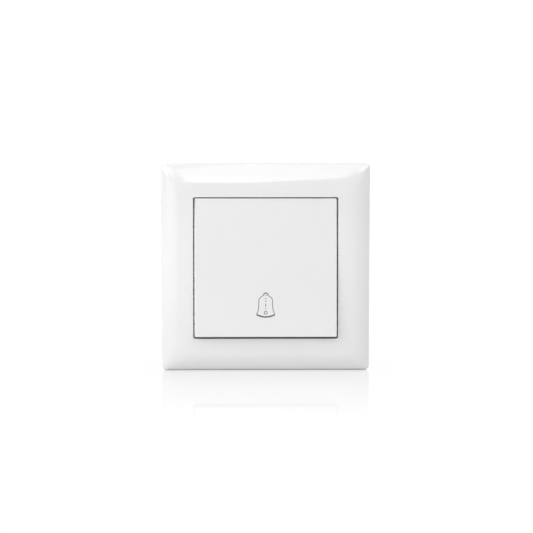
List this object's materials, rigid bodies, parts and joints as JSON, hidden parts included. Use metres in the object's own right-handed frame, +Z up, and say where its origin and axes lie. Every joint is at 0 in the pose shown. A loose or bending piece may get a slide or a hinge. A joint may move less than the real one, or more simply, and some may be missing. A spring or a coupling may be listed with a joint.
{
  "type": "doorbell switch",
  "caption": "Flush-mounted doorbell switch: a white momentary rocker plate in a square pillowed cover frame, with contact mechanism, steel mounting plate and expansion claws.",
  "frame": {"origin": "middle of the wall plane, at the crossing of the box-screw lines", "axes": "+X to the right seen from the room, +Y into the wall, +Z up; the rocker faces -Y"},
  "size_m": [0.0804, 0.0329, 0.0804],
  "materials": {
    "white_gloss": "polished white moulding",
    "white_satin": "plain white moulding",
    "grey_matte": "finely sparked grey moulding",
    "zinc_steel": "zinc-plated sheet steel",
    "screw_steel": "zinc-plated screw steel",
    "spring_steel": "drawn spring wire",
    "contact_brass": "stamped brass",
    "contact_silver": "silver contact rivet"
  },
  "bodies": {
    "housing": {"cover_frame": "white_gloss", "mechanism_cover": "grey_matte", "mechanism_base": "grey_matte", "mounting_plate": "zinc_steel", "plate_rivets": "screw_steel", "return_spring": "spring_steel", "moving_contact": "contact_brass", "moving_contact_tip": "contact_silver", "fixed_contact": "contact_brass", "fixed_contact_tip": "contact_silver", "terminal_cage_line": "contact_brass", "terminal_cage_bell": "contact_brass"},
    "rocker": {"rocker_plate": "white_gloss", "rocker_cradle": "white_satin"},
    "claw_left": {"claw_left": "zinc_steel"},
    "claw_right": {"claw_right": "zinc_steel"},
    "claw_screw_left": {"claw_screw_left": "screw_steel"},
    "claw_screw_right": {"claw_screw_right": "screw_steel"},
    "claw_nut_left": {"claw_nut_left": "screw_steel"},
    "claw_nut_right": {"claw_nut_right": "screw_steel"},
    "terminal_screw_line": {"terminal_screw_line": "screw_steel"},
    "terminal_screw_bell": {"terminal_screw_bell": "screw_steel"}
  },
  "joints": [
    {"name": "rocker_press", "type": "hinge", "parent": "housing", "child": "rocker", "pos_m": [0, -0.0044, 0], "axis": [1, 0, 0], "range_deg": [0, 6], "stiffness_Nm_per_rad": 0.2, "springref_deg": -11.46, "deforming": ["return_spring", "moving_contact", "moving_contact_tip"]},
    {"name": "claw_screw_left_turn", "type": "hinge", "parent": "housing", "child": "claw_screw_left", "pos_m": [-0.023, 0, 0], "axis": [0, 1, 0], "range_deg": [0, 5040]},
    {"name": "claw_left_slide", "type": "slide", "parent": "housing", "child": "claw_left", "axis": [-0.3939, -0.9191, 0], "range_m": [0, 0.00762]},
    {"name": "claw_nut_left_slide", "type": "slide", "parent": "housing", "child": "claw_nut_left", "axis": [0, -1, 0], "range_m": [0, 0.007]},
    {"name": "claw_screw_right_turn", "type": "hinge", "parent": "housing", "child": "claw_screw_right", "pos_m": [0.023, 0, 0], "axis": [0, 1, 0], "range_deg": [0, 5040]},
    {"name": "claw_right_slide", "type": "slide", "parent": "housing", "child": "claw_right", "axis": [0.3939, -0.9191, 0], "range_m": [0, 0.00762]},
    {"name": "claw_nut_right_slide", "type": "slide", "parent": "housing", "child": "claw_nut_right", "axis": [0, -1, 0], "range_m": [0, 0.007]},
    {"name": "terminal_screw_line_clamp", "type": "slide", "parent": "housing", "child": "terminal_screw_line", "axis": [0, 0, -1], "range_m": [0, 0.0022]},
    {"name": "terminal_screw_bell_clamp", "type": "slide", "parent": "housing", "child": "terminal_screw_bell", "axis": [0, 0, 1], "range_m": [0, 0.0022]}
  ],
  "couplings": [
    {"joint": "claw_nut_left_slide", "follows": "claw_left_slide", "ratio": 0.91914},
    {"joint": "claw_screw_left_turn", "follows": "claw_left_slide", "rad_per_m": 11550},
    {"joint": "claw_nut_right_slide", "follows": "claw_right_slide", "ratio": 0.91914},
    {"joint": "claw_screw_right_turn", "follows": "claw_right_slide", "rad_per_m": 11550}
  ]
}
